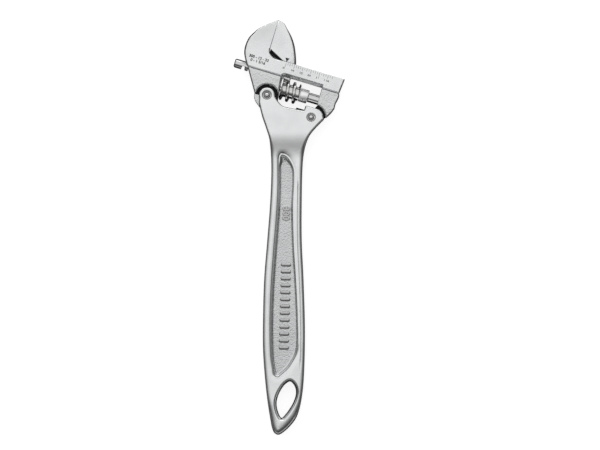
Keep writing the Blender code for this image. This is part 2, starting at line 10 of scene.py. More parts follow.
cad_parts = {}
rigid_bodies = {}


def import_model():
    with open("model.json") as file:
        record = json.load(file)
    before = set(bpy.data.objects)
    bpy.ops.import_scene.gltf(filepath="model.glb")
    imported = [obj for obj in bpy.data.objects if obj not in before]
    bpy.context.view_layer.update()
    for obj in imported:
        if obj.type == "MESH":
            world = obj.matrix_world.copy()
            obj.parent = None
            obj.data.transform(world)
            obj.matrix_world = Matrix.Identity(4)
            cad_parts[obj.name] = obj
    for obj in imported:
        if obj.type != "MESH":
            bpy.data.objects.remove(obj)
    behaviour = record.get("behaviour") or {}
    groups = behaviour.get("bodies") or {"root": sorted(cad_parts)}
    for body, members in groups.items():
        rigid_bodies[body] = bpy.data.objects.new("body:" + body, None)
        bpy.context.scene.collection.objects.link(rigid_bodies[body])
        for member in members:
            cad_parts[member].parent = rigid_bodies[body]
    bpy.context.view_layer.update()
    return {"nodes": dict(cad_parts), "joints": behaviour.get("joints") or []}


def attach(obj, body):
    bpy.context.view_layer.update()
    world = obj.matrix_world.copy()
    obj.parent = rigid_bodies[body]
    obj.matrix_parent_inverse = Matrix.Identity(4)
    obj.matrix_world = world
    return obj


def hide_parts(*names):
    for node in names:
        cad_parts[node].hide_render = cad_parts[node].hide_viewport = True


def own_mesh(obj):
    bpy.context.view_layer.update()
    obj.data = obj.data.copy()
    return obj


for leftover in list(bpy.data.objects):
    bpy.data.objects.remove(leftover, do_unlink=True)

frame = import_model()
print("frame loaded")

mm = 0.001

# lengths below are millimetres; the wrench lies flat, its middle plane is z = 0 here
joints = {joint["name"]: joint for joint in frame["joints"]}
pivotPlace = Vector(joints["head_pivot"]["pos_m"])
slideAxis = Vector(joints["jaw_slide"]["axis"]).normalized()
riseAxis = Vector((-slideAxis.y, slideAxis.x, 0.0))

headSizes = {
    "pivotU": 7.6, "pivotV": -27.3, "guideU": 42.75, "guideV": -33.55,
    "barHalf": 8.6, "footHalf": 8.2, "tipHalf": 5.0, "tongueHalf": 3.2,
    "stepV": -10.9, "barEnd": 58.2, "jawGap": 0.15,
    "windowTop": -10.4, "windowLeft": 14.7, "windowLeftFoot": 16.9, "windowRight": 44.1,
    "topChamfer": 2.2, "leftChamfer": 1.7, "rightChamfer": 0.4,
    "flareDepth": 2.55, "flareRise": 1.05, "flareSpread": 1.5,
    "notchRadius": 8.1, "cornerRadius": 10.4,
    "shankV": -11.2, "channelRadius": 3.6, "pinV": -19.8,
}
handleSizes = {
    "pivotX": -13.046, "pivotY": 245.267, "forkHalf": 8.2, "gripHalf": 6.1, "tailHalf": 5.6,
    "recessDepth": 2.3, "recessWall": 1.9, "holeChamfer": 2.3, "forkFloor": -41.2, "slotHalf": 3.5,
    "earRadius": 5.9, "fingerTop": -26.2,
}


def fromHead(u, v, z=0.0):
    along = (u - headSizes["pivotU"]) * mm
    across = (v - headSizes["pivotV"]) * mm
    return pivotPlace + slideAxis * along + riseAxis * across + Vector((0.0, 0.0, z * mm))


def fromHandle(x, y, z=0.0):
    shift = Vector(((x - handleSizes["pivotX"]) * mm, (y - handleSizes["pivotY"]) * mm, z * mm))
    return pivotPlace + shift


def headToHandle(u, v):
    place = (fromHead(u, v) - pivotPlace) / mm
    return (place.x + handleSizes["pivotX"], place.y + handleSizes["pivotY"])


# outlines

def arcPoints(centre, radius, start, end, steps):
    angles = [math.radians(start + (end - start) * step / steps) for step in range(steps + 1)]
    return [(centre[0] + radius * math.cos(a), centre[1] + radius * math.sin(a)) for a in angles]


def smoothLine(points, spacing=0.9):
    knots = [np.array(point, dtype=float) for point in points]
    along = [0.0]
    for before, after in zip(knots, knots[1:]):
        along.append(along[-1] + float(np.linalg.norm(after - before)))
    last = len(knots) - 1
    slopes = []
    for index in range(last + 1):
        low, high = max(index - 1, 0), min(index + 1, last)
        slopes.append((knots[high] - knots[low]) / (along[high] - along[low]))
    line = []
    for index in range(last):
        span = along[index + 1] - along[index]
        steps = max(2, round(span / spacing))
        for step in range(steps):
            t = step / steps
            point = knots[index] * (2 * t ** 3 - 3 * t ** 2 + 1)
            point = point + slopes[index] * span * (t ** 3 - 2 * t ** 2 + t)
            point = point + knots[index + 1] * (3 * t ** 2 - 2 * t ** 3)
            point = point + slopes[index + 1] * span * (t ** 3 - t ** 2)
            line.append(tuple(point))
    line.append(tuple(knots[-1]))
    return line


def smoothLoop(points, spacing=0.9):
    wrapped = points[-2:] + points + points[:3]
    line = smoothLine(wrapped, spacing)
    start = tuple(np.array(points[0], dtype=float))
    first = line.index(start)
    last = len(line) - 1 - line[::-1].index(start)
    return line[first:last]


def divided(points, spacing=0.9, closed=True):
    dense = []
    following = points[1:] + points[:1] if closed else points[1:]
    for before, after in zip(points, following):
        length = math.dist(before, after)
        steps = max(1, math.ceil(length / spacing))
        for step in range(steps):
            t = step / steps
            dense.append(tuple(one + (other - one) * t for one, other in zip(before, after)))
    if not closed:
        dense.append(points[-1])
    return dense


def segmentsOf(points, closed=True):
    starts = np.array(points, dtype=float)
    if closed:
        return starts, np.roll(starts, -1, axis=0)
    return starts[:-1], starts[1:]


def distanceTo(places, points, closed=True):
    starts, ends = segmentsOf(points, closed)
    spans = ends - starts
    lengths = np.maximum((spans ** 2).sum(axis=1), 1e-12)
    best = np.full(len(places), 1e9)
    for first in range(0, len(places), 2000):
        chunk = places[first:first + 2000, None, :] - starts[None, :, :]
        t = np.clip((chunk * spans[None, :, :]).sum(axis=2) / lengths[None, :], 0.0, 1.0)
        gap = chunk - spans[None, :, :] * t[:, :, None]
        best[first:first + 2000] = np.sqrt((gap ** 2).sum(axis=2).min(axis=1))
    return best


def isInside(places, points):
    starts, ends = segmentsOf(points)
    inside = np.zeros(len(places), dtype=bool)
    for (x1, y1), (x2, y2) in zip(starts, ends):
        if y1 == y2:
            continue
        crosses = (y1 > places[:, 1]) != (y2 > places[:, 1])
        at = x1 + (places[:, 1] - y1) * (x2 - x1) / (y2 - y1)
        inside ^= crosses & (places[:, 0] < at)
    return inside


def insetPoints(points, distance, keep=0.97):
    starts, ends = segmentsOf(points)
    spans = ends - starts
    spans /= np.maximum(np.linalg.norm(spans, axis=1), 1e-9)[:, None]
    around = spans + np.roll(spans, 1, axis=0)
    around /= np.maximum(np.linalg.norm(around, axis=1), 1e-9)[:, None]
    stretch = np.maximum((around * spans).sum(axis=1), 0.6)
    area = (starts[:, 0] * ends[:, 1] - ends[:, 0] * starts[:, 1]).sum()
    reach = distance * (1.0 if area > 0 else -1.0) / stretch
    moved = starts + np.stack([-around[:, 1], around[:, 0]], axis=1) * reach[:, None]
    return moved[distanceTo(moved, points) > abs(distance) * keep]


# solids

def smoothStep(value):
    t = np.clip(value, 0.0, 1.0)
    return t * t * t * (t * (6 * t - 15) + 10)


def roundOver(distance, radius):
    inner = np.clip(radius - distance, 0.0, radius)
    return radius - np.sqrt(np.maximum(radius ** 2 - inner ** 2, 0.0))


def domeDrop(distance, width, depth):
    t = np.clip(1.0 - distance / width, 0.0, 1.0)
    return depth * (1.0 - np.sqrt(np.maximum(1.0 - t ** 2, 0.0)))


def edgeDrop(distance, width, depth):
    return depth * np.clip(1.0 - distance / width, 0.0, 1.0) ** 1.3


def deepestDrop(flat, edges):
    drops = [edgeDrop(distanceTo(flat, line, closed=False), width, depth) for line, width, depth in edges]
    return np.maximum.reduce(drops)


# a closed plate, mirrored about its middle plane, whose half thickness is height(points)
def plateMesh(name, outline, holes, height, place, rings, cell=1.7, extra=(), spacing=0.5):
    outline = divided(outline, spacing)
    holes = [divided(hole, spacing) for hole in holes]
    loops = [outline] + holes
    fixed = []
    edges = []
    for loop in loops:
        first = len(fixed)
        fixed += [tuple(point) for point in loop]
        edges += [(first + index, first + (index + 1) % len(loop)) for index in range(len(loop))]
    low = np.array(outline).min(axis=0)
    high = np.array(outline).max(axis=0)
    free = []
    for loop in loops:
        for ring in rings:
            free.append(insetPoints(loop, ring if loop is outline else -ring))
    for points in extra:
        free.append(np.array(points, dtype=float))
    near = np.concatenate(free)
    columns = np.arange(low[0], high[0], cell)
    rows = np.arange(low[1], high[1], cell * 0.87)
    grid = np.array([(x + 0.5 * cell * (row % 2), y) for row, y in enumerate(rows) for x in columns])
    grid = grid[isInside(grid, outline)]
    clear = np.ones(len(grid), dtype=bool)
    for loop in loops:
        clear &= distanceTo(grid, loop) > rings[-1] + cell * 0.45
    for points in extra:
        clear &= distanceTo(grid, points, closed=False) > cell * 0.45
    near = np.concatenate([near, grid[clear]])
    keep = isInside(near, outline)
    for loop in loops:
        keep &= distanceTo(near, loop) > rings[0] * 0.9
    for hole in holes:
        keep &= ~isInside(near, hole)
    near = near[keep]
    coords = [Vector(point) for point in fixed] + [Vector(point) for point in near]
    result = delaunay_2d_cdt(coords, edges, [], 0, 1e-5)
    flat = np.array([tuple(point) for point in result[0]])
    triangles = np.array([triangle for triangle in result[2] if len(triangle) == 3])
    centres = flat[triangles].mean(axis=1)
    wanted = isInside(centres, outline)
    for hole in holes:
        wanted &= ~isInside(centres, hole)
    triangles = triangles[wanted]
    used = np.unique(triangles)
    number = {int(old): new for new, old in enumerate(used)}
    flat = flat[used]
    triangles = [[number[int(corner)] for corner in triangle] for triangle in triangles]
    heights = height(flat)
    count = len(flat)
    corners = [place(x, y, z) for (x, y), z in zip(flat, heights)]
    corners += [place(x, y, -z) for (x, y), z in zip(flat, heights)]
    faces = []
    border = {}
    for a, b, c in triangles:
        ax, ay = flat[b] - flat[a]
        bx, by = flat[c] - flat[a]
        if ax * by - ay * bx < 0:
            b, c = c, b
        faces.append((a, b, c))
        faces.append((count + a, count + c, count + b))
        for one, other in ((a, b), (b, c), (c, a)):
            if (other, one) in border:
                del border[(other, one)]
            else:
                border[(one, other)] = True
    for one, other in border:
        faces.append((other, one, count + one, count + other))
    mesh = bpy.data.meshes.new(name)
    mesh.from_pydata([tuple(corner) for corner in corners], [], faces)
    mesh.validate()
    return mesh


def newPiece(name, mesh):
    piece = bpy.data.objects.new(name, mesh)
    bpy.context.scene.collection.objects.link(piece)
    return piece


def finishShading(mesh, angle=32.0):
    mesh.shade_smooth()
    mesh.set_sharp_from_angle(angle=math.radians(angle))


def faceOutward(shape):
    bmesh.ops.recalc_face_normals(shape, faces=shape.faces)
    if shape.calc_volume(signed=True) < 0:
        bmesh.ops.reverse_faces(shape, faces=shape.faces)


def tidyMesh(mesh, distance=0.000002):
    shape = bmesh.new()
    shape.from_mesh(mesh)
    bmesh.ops.remove_doubles(shape, verts=shape.verts, dist=distance)
    faceOutward(shape)
    shape.to_mesh(mesh)
    shape.free()


def solidMesh(name, corners, faces):
    mesh = bpy.data.meshes.new(name)
    mesh.from_pydata(corners, [], faces)
    tidyMesh(mesh)
    return mesh


def splitMesh(mesh, place, normal):
    shape = bmesh.new()
    shape.from_mesh(mesh)
    whole = list(shape.verts) + list(shape.edges) + list(shape.faces)
    bmesh.ops.bisect_plane(shape, geom=whole, plane_co=place, plane_no=normal)
    shape.to_mesh(mesh)
    shape.free()


def finalMesh(piece):
    depsgraph = bpy.context.evaluated_depsgraph_get()
    return bpy.data.meshes.new_from_object(piece.evaluated_get(depsgraph))


def bake(piece):
    mesh = finalMesh(piece)
    piece.modifiers.clear()
    piece.data = mesh
    return mesh


def latheMesh(name, profile, steps, place):
    rows = []
    corners = []
    for radius, height in profile:
        row = []
        ring = 1 if radius < 1e-6 else steps
        for step in range(ring):
            angle = 2 * math.pi * step / steps
            row.append(len(corners))
            corners.append(tuple(place(radius * math.cos(angle), radius * math.sin(angle), height)))
        rows.append(row)
    faces = []
    for upper, lower in zip(rows, rows[1:]):
        for step in range(steps):
            following = (step + 1) % steps
            if len(upper) == 1:
                faces.append((upper[0], lower[step], lower[following]))
            elif len(lower) == 1:
                faces.append((upper[step], lower[0], upper[following]))
            else:
                faces.append((upper[step], lower[step], lower[following], upper[following]))
    return solidMesh(name, corners, faces)


def alongSlide(v0):
    return lambda x, y, z: fromHead(z, v0 + x, y)


def acrossHead(u0, v0):
    return lambda x, y, z: fromHead(u0 + x, v0 + y, z)


def rodProfile(radius, start, end):
    return [(0.0, end), (radius, end), (radius, start), (0.0, start)]


def cutBy(piece, cutters, operation="DIFFERENCE"):
    for cutter in cutters:
        boolean = piece.modifiers.new(cutter.name, "BOOLEAN")
        boolean.operation = operation
        boolean.solver = "EXACT"
        boolean.object = cutter
    mesh = bake(piece)
    for cutter in cutters:
        bpy.data.objects.remove(cutter, do_unlink=True)
    return mesh


def prism(name, outline, low, high, place):
    corners = [tuple(place(x, y, z)) for z in (low, high) for x, y in outline]
    count = len(outline)
    faces = [tuple(range(count)), tuple(range(count, 2 * count))]
    for index in range(count):
        following = (index + 1) % count
        faces.append((index, following, count + following, count + index))
    return newPiece(name, solidMesh(name, corners, faces))


# finishes

# rough is the mean roughness, spread how far it wanders, and depth the height of the grain in millimetres
finishes = {
    "polishedChrome": {"tone": (0.66, 0.665, 0.67), "rough": 0.14, "spread": 0.04,
                       "grain": 700.0, "depth": 0.18},
    "satinChrome": {"tone": (0.63, 0.635, 0.64), "rough": 0.22, "spread": 0.06,
                    "grain": 800.0, "depth": 0.38},
    "handleChrome": {"tone": (0.65, 0.655, 0.66), "rough": 0.17, "spread": 0.05,
                     "grain": 800.0, "depth": 0.32, "satinFrom": 206.0},
    "blastedChrome": {"tone": (0.60, 0.605, 0.61), "rough": 0.26, "spread": 0.08,
                      "grain": 900.0, "depth": 0.36},
    "wormChrome": {"tone": (0.60, 0.60, 0.59), "rough": 0.09, "spread": 0.03,
                   "grain": 1800.0, "depth": 0.01},
    "turnedSteel": {"tone": (0.60, 0.60, 0.60), "rough": 0.10, "spread": 0.04,
                    "grain": 1600.0, "depth": 0.01},
    "rivetSteel": {"tone": (0.52, 0.52, 0.52), "rough": 0.06, "spread": 0.03,
                   "grain": 1600.0, "depth": 0.008},
    "reliefChrome": {"tone": (0.42, 0.42, 0.425), "rough": 0.2, "spread": 0.06,
                     "grain": 1200.0, "depth": 0.05},
    "springSteel": {"tone": (0.32, 0.32, 0.33), "rough": 0.32, "spread": 0.08,
                    "grain": 1500.0, "depth": 0.03},
    "etchedInk": {"tone": (0.02, 0.02, 0.022), "rough": 0.6, "spread": 0.1,
                  "grain": 2500.0, "depth": 0.05, "metallic": 0.0},
    # near black: painted shade on the tongue for the gap round the ear; the jaw's web inside the slot gets
    # the same near black
    "blackenedSteelAndShade": {"tone": (0.02, 0.02, 0.021), "rough": 0.5, "spread": 0.1,
                       "grain": 1800.0, "depth": 0.05},
    # near white tone, far above the other steels: a painted highlight, so the collar reads white all over
    "paintedHighlightCollar": {"tone": (0.95, 0.95, 0.95), "rough": 0.5, "spread": 0.05,
                     "grain": 1500.0, "depth": 0.02},
}
satinFade = 20.0


def fillInputs(tree, node, values):
    for label, value in values.items():
        if isinstance(value, bpy.types.NodeSocket):
            tree.links.new(value, node.inputs[label])
        elif value is not None:
            node.inputs[label].default_value = value


def addNode(tree, kind, values, **settings):
    node = tree.nodes.new(kind)
    for label, value in settings.items():
        setattr(node, label, value)
    fillInputs(tree, node, values)
    return node


def makeFinish(name):
    look = finishes[name]
    material = bpy.data.materials.new(name)
    material.use_nodes = True
    tree = material.node_tree
    place = tree.nodes.new("ShaderNodeTexCoord").outputs["Object"]
    cloud = addNode(tree, "ShaderNodeTexNoise", {"Vector": place, "Scale": 70.0, "Detail": 3.0})
    ramp = addNode(tree, "ShaderNodeValToRGB", {"Fac": cloud.outputs["Fac"]})
    for element, position, gain in zip(ramp.color_ramp.elements, (0.3, 0.7), (0.95, 1.04)):
        element.position = position
        element.color = (*[min(channel * gain, 1.0) for channel in look["tone"]], 1.0)
    grain = addNode(tree, "ShaderNodeTexNoise", {
        "Vector": place, "Scale": look["grain"], "Detail": 4.0, "Roughness": 0.6})
    dullness = addNode(tree, "ShaderNodeMapRange", {
        "Value": grain.outputs["Fac"], "To Min": look["rough"] - look["spread"],
        "To Max": look["rough"] + look["spread"]})
    bump = addNode(tree, "ShaderNodeBump", {
        "Strength": 1.0, "Distance": look["depth"] * mm, "Height": grain.outputs["Fac"]})
    if "satinFrom" in look:
        split = addNode(tree, "ShaderNodeSeparateXYZ", {"Vector": place})
        amount = addNode(tree, "ShaderNodeMapRange", {
            "Value": split.outputs["Y"], "From Min": look["satinFrom"] * mm,
            "From Max": (look["satinFrom"] + satinFade) * mm, "To Min": 0.1})
        fillInputs(tree, bump, {"Strength": amount.outputs["Result"]})
    fillInputs(tree, tree.nodes["Principled BSDF"], {
        "Base Color": ramp.outputs["Color"], "Metallic": look.get("metallic", 1.0),
        "Roughness": dullness.outputs["Result"], "Normal": bump.outputs["Normal"]})
    return material


finish = {name: makeFinish(name) for name in finishes}
print("finishes ready")


def dress(piece, names):
    piece.data.materials.clear()
    for name in names:
        piece.data.materials.append(finish[name])


# geometry node trees

def startTree(name, values):
    tree = bpy.data.node_groups.new(name, "GeometryNodeTree")
    for label, value in values.items():
        kind = "NodeSocketInt" if isinstance(value, int) else "NodeSocketFloat"
        socket = tree.interface.new_socket(label, in_out="INPUT", socket_type=kind)
        socket.default_value = value
    tree.interface.new_socket("Geometry", in_out="OUTPUT", socket_type="NodeSocketGeometry")
    return tree, tree.nodes.new("NodeGroupInput").outputs


def mathNode(tree, operation, first, second=None):
    return addNode(tree, "ShaderNodeMath", {0: first, 1: second}, operation=operation).outputs[0]


def combineNode(tree, x=0.0, y=0.0, z=0.0):
    return addNode(tree, "ShaderNodeCombineXYZ", {"X": x, "Y": y, "Z": z}).outputs[0]


def endTree(tree, geometry, material):
    realize = addNode(tree, "GeometryNodeRealizeInstances", {"Geometry": geometry})
    cover = addNode(tree, "GeometryNodeSetMaterial", {
        "Geometry": realize.outputs["Geometry"], "Material": material})
    addNode(tree, "NodeGroupOutput", {"Geometry": cover.outputs["Geometry"]})
    return tree


def growTree(name, tree, values, matrix):
    piece = newPiece(name, bpy.data.meshes.new(name))
    modifier = piece.modifiers.new("build", "NODES")
    modifier.node_group = tree
    for item in tree.interface.items_tree:
        if item.in_out == "INPUT" and item.name in values:
            modifier[item.identifier] = values[item.name]
    mesh = bake(piece)
    mesh.transform(matrix)
    return piece


def frameMatrix(origin, xAxis, yAxis):
    zAxis = xAxis.cross(yAxis)
    matrix = Matrix((xAxis, yAxis, zAxis)).transposed().to_4x4()
    matrix.translation = origin
    return matrix


def springTree(material, values):
    tree, given = startTree("coilSpring", values)
    spiral = addNode(tree, "GeometryNodeCurveSpiral", {
        "Resolution": 28, "Rotations": given["Turns"], "Start Radius": given["Coil Radius"],
        "End Radius": given["Coil Radius"], "Height": given["Length"]})
    wire = addNode(tree, "GeometryNodeCurvePrimitiveCircle", {
        "Resolution": 12, "Radius": given["Wire Radius"]})
    tube = addNode(tree, "GeometryNodeCurveToMesh", {
        "Curve": spiral.outputs["Curve"], "Profile Curve": wire.outputs["Curve"], "Fill Caps": True})
    return endTree(tree, tube.outputs["Mesh"], material)


def rulerTree(material, values):
    tree, given = startTree("rulerTicks", values)
    index = tree.nodes.new("GeometryNodeInputIndex").outputs[0]
    length = given["Short"]
    for step, name in ((2, "Middle"), (4, "Long"), (16, "Full")):
        isStep = mathNode(tree, "LESS_THAN", mathNode(tree, "MODULO", index, step), 0.5)
        gain = mathNode(tree, "SUBTRACT", given[name], length)
        length = mathNode(tree, "ADD", length, mathNode(tree, "MULTIPLY", isStep, gain))
    x = mathNode(tree, "MULTIPLY", index, given["Spacing"])
    y = mathNode(tree, "MULTIPLY", length, -0.5)
    points = addNode(tree, "GeometryNodePoints", {
        "Count": given["Count"], "Position": combineNode(tree, x, y)})
    bar = addNode(tree, "GeometryNodeMeshCube", {"Size": (1.0, 1.0, 1.0)})
    place = addNode(tree, "GeometryNodeInstanceOnPoints", {
        "Points": points.outputs[0], "Instance": bar.outputs["Mesh"],
        "Scale": combineNode(tree, given["Width"], length, given["Height"])})
    return endTree(tree, place.outputs["Instances"], material)


# each rib is a ball flattened to the rise and drawn out to the length
def ribTree(material, values):
    tree, given = startTree("thumbRibs", values)
    index = tree.nodes.new("GeometryNodeInputIndex").outputs[0]
    row = combineNode(tree, 0.0, mathNode(tree, "MULTIPLY", index, given["Spacing"]))
    points = addNode(tree, "GeometryNodePoints", {"Count": given["Count"], "Position": row})
    ball = addNode(tree, "GeometryNodeMeshUVSphere", {"Segments": 20, "Rings": 12, "Radius": 1.0})
    position = tree.nodes.new("GeometryNodeInputPosition").outputs[0]
    across, up, along = addNode(tree, "ShaderNodeSeparateXYZ", {0: position}).outputs
    side = mathNode(tree, "SIGN", mathNode(tree, "SNAP", along, 0.001))
    reach = mathNode(tree, "SUBTRACT", mathNode(tree, "MULTIPLY", given["Length"], 0.5), given["Radius"])
    x = mathNode(tree, "ADD", mathNode(tree, "MULTIPLY", along, given["Radius"]),
                 mathNode(tree, "MULTIPLY", side, reach))
    y = mathNode(tree, "MULTIPLY", across, given["Radius"])
    z = mathNode(tree, "MULTIPLY", up, given["Rise"])
    shape = addNode(tree, "GeometryNodeSetPosition", {
        "Geometry": ball.outputs["Mesh"], "Position": combineNode(tree, x, y, z)})
    place = addNode(tree, "GeometryNodeInstanceOnPoints", {
        "Points": points.outputs[0], "Instance": shape.outputs["Geometry"]})
    return endTree(tree, place.outputs["Instances"], material)


def raisedText(name, words, height, rise, matrix, finishName, bevel=0.0, bold=0.0):
    letters = bpy.data.curves.new(name, "FONT")
    letters.body = words
    letters.size = height
    letters.extrude = rise
    letters.bevel_depth = bevel
    letters.offset = bold
    letters.resolution_u = 4
    letters.align_x = "CENTER"
    letters.align_y = "CENTER"
    flat = newPiece(name, letters)
    mesh = finalMesh(flat)
    bpy.data.objects.remove(flat, do_unlink=True)
    mesh.transform(matrix)
    tidyMesh(mesh, 0.000001)
    piece = newPiece(name, mesh)
    dress(piece, [finishName])
    return piece


# handle

def handleOutline():
    pivot = (handleSizes["pivotX"], handleSizes["pivotY"])
    line = arcPoints(pivot, handleSizes["earRadius"], 198, 4, 40)
    line += smoothLine([(-6.9, 244.0), (-5.0, 241.0), (-1.8, 237.7), (3.0, 236.3), (13.4, 234.3)])
    top = handleSizes["fingerTop"]
    line += divided([headToHandle(36.4, -29.4), headToHandle(36.4, top - 0.6), headToHandle(37.0, top),
                     headToHandle(46.6, top), headToHandle(47.5, top - 0.4)], closed=False)
    line += smoothLine([headToHandle(u, v) for u, v in ((48.6, -27.1), (50.3, -28.7), (51.2, -30.6))])
    line += smoothLine([(28.2, 228.0), (22.0, 221.7), (17.5, 215.9), (14.4, 207.3), (12.8, 195.7),
                        (12.1, 170.0), (12.1, 141.0), (13.4, 112.1), (14.4, 76.0), (13.7, 42.8),
                        (11.9, 25.5), (8.9, 14.0), (5.3, 8.2), (-0.4, 2.5), (-5.0, 0.0),
                        (-8.4, 2.3), (-10.6, 11.1), (-13.5, 31.3), (-15.7, 57.3), (-16.0, 76.0),
                        (-15.1, 112.1), (-12.8, 141.0), (-10.6, 170.0), (-9.9, 195.0),
                        (-11.2, 213.0), (-13.7, 221.7), (-16.6, 230.3), (-18.9, 239.8)])
    return line


def recessOutline():
    return smoothLoop([(-2.3, 202.2), (1.0, 200.9), (3.8, 197.4), (6.0, 190.0), (5.2, 165.0),
                       (5.8, 138.0), (7.4, 112.0), (8.6, 85.0), (8.2, 62.0), (2.4, 50.0),
                       (-2.8, 44.9), (-5.5, 42.9), (-6.9, 43.7), (-7.5, 47.0), (-8.9, 57.0),
                       (-9.4, 80.0), (-8.6, 106.0), (-6.6, 135.0), (-4.6, 160.0), (-3.7, 180.0),
                       (-3.6, 199.6)])


def hangHoleOutline():
    return smoothLoop([(4.1, 38.5), (7.0, 35.1), (7.9, 30.3), (6.4, 24.3), (3.1, 18.3),
                       (-0.8, 13.3), (-2.7, 12.0), (-5.1, 16.5), (-6.1, 22.5), (-4.9, 28.5),
                       (-1.6, 34.6), (1.6, 37.8)], 0.6)


def gripHalfAt(y):
    grip, tail, fork = handleSizes["gripHalf"], handleSizes["tailHalf"], handleSizes["forkHalf"]
    swell = smoothStep((y - 10.0) / 80.0)
    neck = smoothStep((y - 197.0) / 24.0)
    return tail + (grip - tail) * swell + (fork - grip) * neck


# rounded edges, a crease beside the right edge, the recess with a groove round it, and the chamfers
def handleHeight(outline, recess, hole, rivets):
    def height(flat):
        x, y = flat[:, 0], flat[:, 1]
        half = gripHalfAt(y)
        tail = smoothStep((32.0 - y) / 26.0)
        fork = smoothStep((y - 200.0) / 20.0)
        edge = distanceTo(flat, outline)
        half -= domeDrop(edge, 3.4 + 2.8 * tail - 1.9 * fork, 2.0 + 1.4 * tail - 0.4 * fork)
        crease = 0.4 * np.exp(-((edge - 2.9) / 0.35) ** 2) * np.where(x > 0.0, 1.0, 0.0)
        half -= crease * smoothStep((y - 40.0) / 20.0) * smoothStep((196.0 - y) / 20.0)
        deep = distanceTo(flat, recess) * np.where(isInside(flat, recess), 1.0, -1.0)
        half -= 0.3 * smoothStep((deep + 4.0) / 3.0) * (1.0 - fork)
        beside = np.maximum(smoothStep((1.0 - x) / 4.0), smoothStep((72.0 - y) / 16.0))
        half -= 0.38 * np.exp(-((deep + 1.2) / 0.35) ** 2) * (0.25 + 0.75 * beside)
        wall = handleSizes["recessWall"] * (1.0 + 0.9 * smoothStep((y - 193.0) / 7.0))
        half -= (handleSizes["recessDepth"] - 0.3) * smoothStep((deep + 0.7) / wall)
        half -= edgeDrop(distanceTo(flat, hole), handleSizes["holeChamfer"], handleSizes["holeChamfer"])
        for centre, bore in rivets:
            ring = np.linalg.norm(flat - np.array(centre), axis=1) - bore
            half -= np.clip(0.5 - ring, 0.0, 0.5)
        return half
    return height


def makeHandle():
    outline = handleOutline()
    recess = recessOutline()
    hole = hangHoleOutline()
    pivot = (handleSizes["pivotX"], handleSizes["pivotY"])
    guide = headToHandle(headSizes["guideU"], headSizes["guideV"])
    rivets = [(pivot, 3.1), (guide, 2.9)]
    holes = [hole] + [arcPoints(centre, radius, 0, 360, 40)[:-1] for centre, radius in rivets]
    fine = divided(recess, 0.6)
    wallRings = (-2.2, -1.7, -1.4, -1.15, -0.85, -0.6, -0.2, 0.2, 0.7, 1.2, 1.9)
    edgeRings = (0.07, 0.2, 0.4, 0.7, 1.1, 1.6, 2.1, 2.5, 2.75, 3.05, 3.4, 4.0)
    extra = [insetPoints(fine, ring, 0.9) for ring in wallRings]
    height = handleHeight(outline, recess, hole, rivets)
    mesh = plateMesh("handleBody", outline, holes, height, fromHandle, edgeRings, extra=extra, spacing=0.6)
    piece = newPiece("handleBody", mesh)
    slot = prism("forkSlot", [(-40.0, handleSizes["forkFloor"]), (80.0, handleSizes["forkFloor"]),
                              (80.0, 10.0), (-40.0, 10.0)],
                 -handleSizes["slotHalf"], handleSizes["slotHalf"], fromHead)
    mesh = cutBy(piece, [slot])
    finishShading(mesh)
    dress(piece, ["handleChrome", "blastedChrome"])
    centres = np.array([tuple(face.center) for face in mesh.polygons])
    flat = (centres - np.array(pivotPlace)) / mm
    flat = flat[:, :2] + np.array([handleSizes["pivotX"], handleSizes["pivotY"]])
    deep = isInside(flat, recess) & (distanceTo(flat, recess) > 1.0)
    for face, isDeep in zip(mesh.polygons, deep):
        face.material_index = 1 if isDeep else 0
    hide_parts("handle")
    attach(piece, "handle")


ribSizes = {"Count": 13, "Spacing": 0.0050, "Length": 0.0076, "Radius": 0.0015, "Rise": 0.0011}


def makeRelief():
    floor = handleSizes["gripHalf"] - handleSizes["recessDepth"]
    lean = Vector((0.028, 1.0, 0.0)).normalized()
    matrix = frameMatrix(fromHandle(-0.9, 63.0, floor - 0.05), Vector((lean.y, -lean.x, 0.0)), lean)
    piece = growTree("reliefRibs", ribTree(finish["reliefChrome"], ribSizes), ribSizes, matrix)
    finishShading(piece.data)
    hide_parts("handle")
    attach(piece, "handle")
    down = Vector((-0.02, -1.0, 0.0)).normalized()
    matrix = frameMatrix(fromHandle(0.6, 160.0, floor), down, Vector((-down.y, down.x, 0.0)))
    number = raisedText("reliefNumber", "300", 0.0066, 0.0005, matrix, "reliefChrome",
                        bevel=0.0004, bold=0.0001)
    finishShading(number.data)
    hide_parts("handle")
    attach(number, "handle")


# head

def windowOutline(rise, left, right):
    s = headSizes
    line = [(s["windowLeftFoot"] - left, -45.0)]
    line += arcPoints((s["windowLeft"] + 3.0 - left, s["windowTop"] - 3.0 + rise), 3.0, 180, 90, 10)
    line += [(s["windowRight"] + right, s["windowTop"] + rise), (s["windowRight"] + right, -45.0)]
    return line


def windowCutters():
    s = headSizes
    made = []
    for side in (1, -1):
        low = windowOutline(0.0, 0.0, 0.0)
        spread = [s[edge] * s["flareSpread"] for edge in ("topChamfer", "leftChamfer", "rightChamfer")]
        high = windowOutline(*spread)
        z0, z1 = s["barHalf"] - s["flareDepth"], s["barHalf"] + s["flareRise"]
        corners = [tuple(fromHead(u, v, side * (z0 - 1.0))) for u, v in low]
        corners += [tuple(fromHead(u, v, side * z0)) for u, v in low]
        corners += [tuple(fromHead(u, v, side * z1)) for u, v in high]
        count = len(low)
        faces = [tuple(range(count)), tuple(range(2 * count, 3 * count))]
        for level in (0, count):
            for index in range(count):
                following = (index + 1) % count
                near, far = level + index, level + following
                faces.append((near, far, count + far, count + near))
        made.append(newPiece("windowFlare", solidMesh("windowFlare", corners, faces)))
    return made


jawRings = (0.07, 0.16, 0.3, 0.5, 0.75, 1.05, 1.5)


def jawTaper(v):
    t = np.clip((v - 1.0) / 27.4, 0.0, 1.0)
    return headSizes["barHalf"] - (headSizes["barHalf"] - headSizes["tipHalf"]) * t ** 1.6


